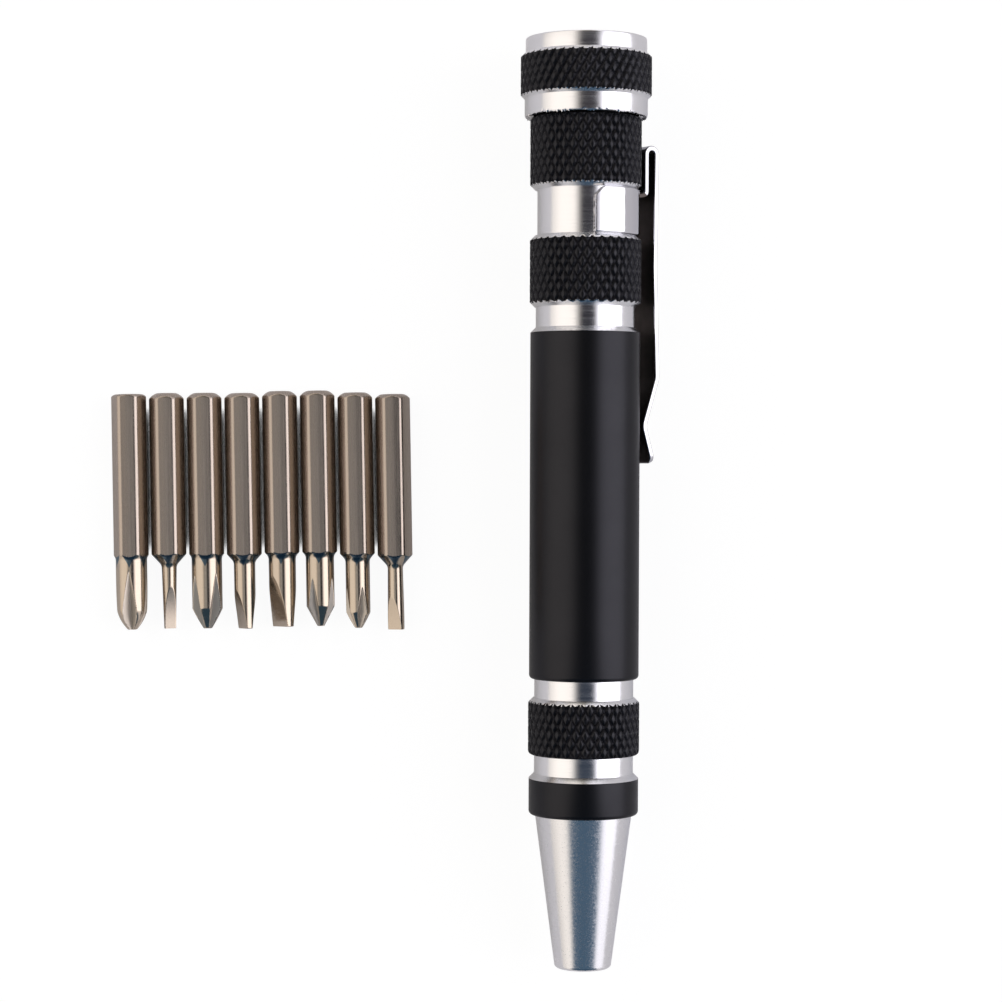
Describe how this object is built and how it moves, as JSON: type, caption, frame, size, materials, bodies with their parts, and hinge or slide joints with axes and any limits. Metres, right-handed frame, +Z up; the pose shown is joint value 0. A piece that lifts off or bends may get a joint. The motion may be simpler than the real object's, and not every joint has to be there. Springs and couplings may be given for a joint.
{
  "type": "pocket screwdriver",
  "caption": "Pen-shaped aluminium pocket screwdriver with knurled bands, spring clip, screw cap and magnetic hex socket, lying beside its row of loose hex screwdriver bits.",
  "frame": {"origin": "on the table top, under the middle of the box around the handle and the row of bits", "axes": "+Y along the handle from the nose to the cap, +X from the bits towards the handle, +Z up"},
  "size_m": [0.0681, 0.1136, 0.0161],
  "materials": {
    "black_anodised_aluminium": "satin black anodised, with bright turned grooves",
    "satin_aluminium": "satin turned",
    "bright_aluminium": "bright turned, with a black anodised knurled ring",
    "chromed_spring_steel": "bright chrome",
    "gunmetal_plated_steel": "warm gunmetal plating over drawn hex bar",
    "hardened_steel": "machined",
    "nickel_plated_magnet": "nickel plated",
    "foam_rubber": "fine closed-cell foam"
  },
  "bodies": {
    "barrel": {"barrel": "black_anodised_aluminium", "nose_cone": "satin_aluminium", "bit_sleeve": "hardened_steel", "socket_magnet": "nickel_plated_magnet"},
    "cap_pad": {"cap_pad": "foam_rubber"},
    "screw_cap": {"screw_cap": "bright_aluminium"},
    "clip_band": {"clip_band": "chromed_spring_steel"},
    "clip_arm": {"clip_arm": "chromed_spring_steel"},
    "bit_phillips_2": {"bit_phillips_2": "gunmetal_plated_steel"},
    "bit_slotted_15": {"bit_slotted_15": "gunmetal_plated_steel"},
    "bit_phillips_1": {"bit_phillips_1": "gunmetal_plated_steel"},
    "bit_slotted_25": {"bit_slotted_25": "gunmetal_plated_steel"},
    "bit_slotted_30": {"bit_slotted_30": "gunmetal_plated_steel"},
    "bit_phillips_0": {"bit_phillips_0": "gunmetal_plated_steel"},
    "bit_phillips_00": {"bit_phillips_00": "gunmetal_plated_steel"},
    "bit_slotted_20": {"bit_slotted_20": "gunmetal_plated_steel"}
  },
  "joints": [
    {"name": "cap_rise", "type": "slide", "parent": "barrel", "child": "cap_pad", "axis": [0, 0.9999, 0.0149], "range_m": [0, 0.0051]},
    {"name": "cap_turn", "type": "hinge", "parent": "cap_pad", "child": "screw_cap", "pos_m": [0.02479, 0.04717, 0.00796], "axis": [0, 0.9999, 0.0149], "range_deg": [0, 1440]},
    {"name": "clip_swivel", "type": "hinge", "parent": "barrel", "child": "clip_band", "pos_m": [0.02479, 0.03552, 0.00779], "axis": [0, 0.9999, 0.0149], "continuous": true},
    {"name": "clip_flex", "type": "hinge", "parent": "clip_band", "child": "clip_arm", "pos_m": [0.03148, 0.04409, 0.00347], "axis": [0.5528, -0.0124, 0.8332], "range_deg": [0, 5], "stiffness_Nm_per_rad": 0.9, "springref_deg": -1.15},
    {"name": "bit_phillips_2_lift", "type": "slide", "parent": "barrel", "child": "bit_phillips_2", "axis": [0, 0, 1], "range_m": [0, 0.05]},
    {"name": "bit_slotted_15_lift", "type": "slide", "parent": "barrel", "child": "bit_slotted_15", "axis": [0, 0, 1], "range_m": [0, 0.05]},
    {"name": "bit_phillips_1_lift", "type": "slide", "parent": "barrel", "child": "bit_phillips_1", "axis": [0, 0, 1], "range_m": [0, 0.05]},
    {"name": "bit_slotted_25_lift", "type": "slide", "parent": "barrel", "child": "bit_slotted_25", "axis": [0, 0, 1], "range_m": [0, 0.05]},
    {"name": "bit_slotted_30_lift", "type": "slide", "parent": "barrel", "child": "bit_slotted_30", "axis": [0, 0, 1], "range_m": [0, 0.05]},
    {"name": "bit_phillips_0_lift", "type": "slide", "parent": "barrel", "child": "bit_phillips_0", "axis": [0, 0, 1], "range_m": [0, 0.05]},
    {"name": "bit_phillips_00_lift", "type": "slide", "parent": "barrel", "child": "bit_phillips_00", "axis": [0, 0, 1], "range_m": [0, 0.05]},
    {"name": "bit_slotted_20_lift", "type": "slide", "parent": "barrel", "child": "bit_slotted_20", "axis": [0, 0, 1], "range_m": [0, 0.05]}
  ],
  "couplings": [
    {"joint": "cap_rise", "follows": "cap_turn", "m_per_rad": 0.00019894}
  ]
}
